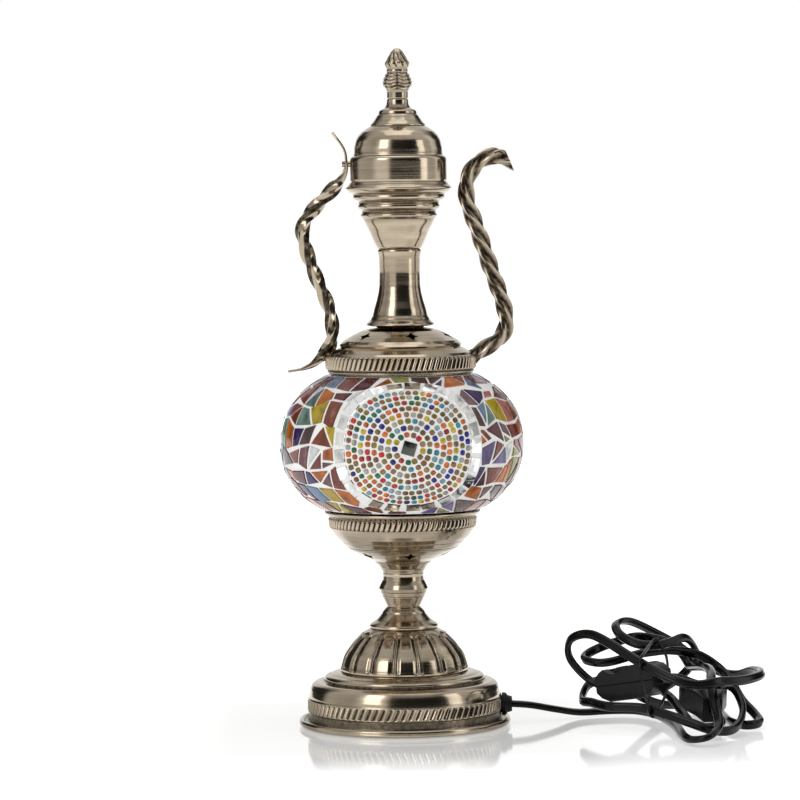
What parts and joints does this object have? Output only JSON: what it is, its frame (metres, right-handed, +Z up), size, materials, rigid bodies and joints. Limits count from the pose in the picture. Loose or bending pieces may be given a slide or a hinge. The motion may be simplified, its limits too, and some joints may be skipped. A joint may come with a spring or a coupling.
{
  "type": "table lamp",
  "caption": "Ewer-shaped table lamp with a mosaic glass globe, twisted handle and spout, spun metal foot and a tied flex with in-line switch and plug.",
  "frame": {"origin": "centre of the foot on the surface the lamp stands on", "axes": "+Z up along the lamp's axis, +X towards the spout and the flex, -Y the side with the mosaic medallion seen first"},
  "size_m": [0.251, 0.1609, 0.3523],
  "materials": {
    "antique_brass": "brushed antique plating",
    "plated_steel": "zinc plated",
    "plain_brass": "satin",
    "black_sheet": "matt black",
    "felt": "felt",
    "black_rubber": "moulded",
    "flex_black": "smooth extruded",
    "tie_black": "smooth",
    "black_plastic": "moulded",
    "pale_plastic": "moulded",
    "bulb_cap": "satin",
    "bulb_glass": "frosted",
    "globe_glass": "clear",
    "mosaic": "glass tesserae in white grout",
    "switch_grey": "moulded",
    "wheel_black": "ribbed"
  },
  "bodies": {
    "base": {"base_plinth": "antique_brass", "base_cover": "black_sheet", "foot_pad": "felt", "cord_grommet": "black_rubber", "inner_lead": "flex_black", "rod_washer_low": "plated_steel", "rod_nut_low": "plain_brass", "fluted_dome": "antique_brass", "dome_collar": "antique_brass", "threaded_rod": "plated_steel", "lower_bowl": "antique_brass", "lower_gallery": "antique_brass", "rod_washer_high": "plated_steel", "rod_nut_high": "plain_brass", "holder_cap": "black_plastic", "holder_body": "black_plastic", "holder_insert": "pale_plastic", "screw_sleeve": "plain_brass", "centre_contact": "plain_brass", "globe_glass": "globe_glass", "mosaic_skin": "mosaic", "supply_cord": "flex_black", "plug_cord": "flex_black", "switch_base": "switch_grey", "switch_cover": "switch_grey", "switch_pin": "plated_steel", "switch_screw": "plated_steel", "plug_body": "black_plastic", "plug_blades": "plain_brass", "hank_tie": "tie_black"},
    "ewer_top": {"upper_gallery": "antique_brass", "locating_sleeve": "antique_brass", "upper_dome": "antique_brass", "neck_sleeve": "antique_brass", "ewer_cup": "antique_brass", "ewer_band": "antique_brass", "lid_dome": "antique_brass", "lid_collar": "antique_brass", "finial": "antique_brass", "tie_rod": "plated_steel", "tie_washer": "plated_steel", "tie_nut": "plain_brass", "handle": "antique_brass", "handle_rivets": "antique_brass", "spout": "antique_brass", "spout_bracket": "antique_brass"},
    "bulb": {"bulb_cap": "bulb_cap", "bulb_glass": "bulb_glass"},
    "thumb_wheel": {"switch_wheel": "wheel_black"}
  },
  "joints": [
    {"name": "top_lift", "type": "slide", "parent": "base", "child": "ewer_top", "axis": [0, 0, 1], "range_m": [0, 0.1]},
    {"name": "bulb_unscrew", "type": "hinge", "parent": "base", "child": "bulb", "pos_m": [0, 0, 0.115], "axis": [0, 0, 1], "range_deg": [0, 720]},
    {"name": "wheel_turn", "type": "hinge", "parent": "base", "child": "thumb_wheel", "pos_m": [0.11371, -0.02277, 0.02569], "axis": [-0.6018, -0.7986, 0], "continuous": true}
  ]
}
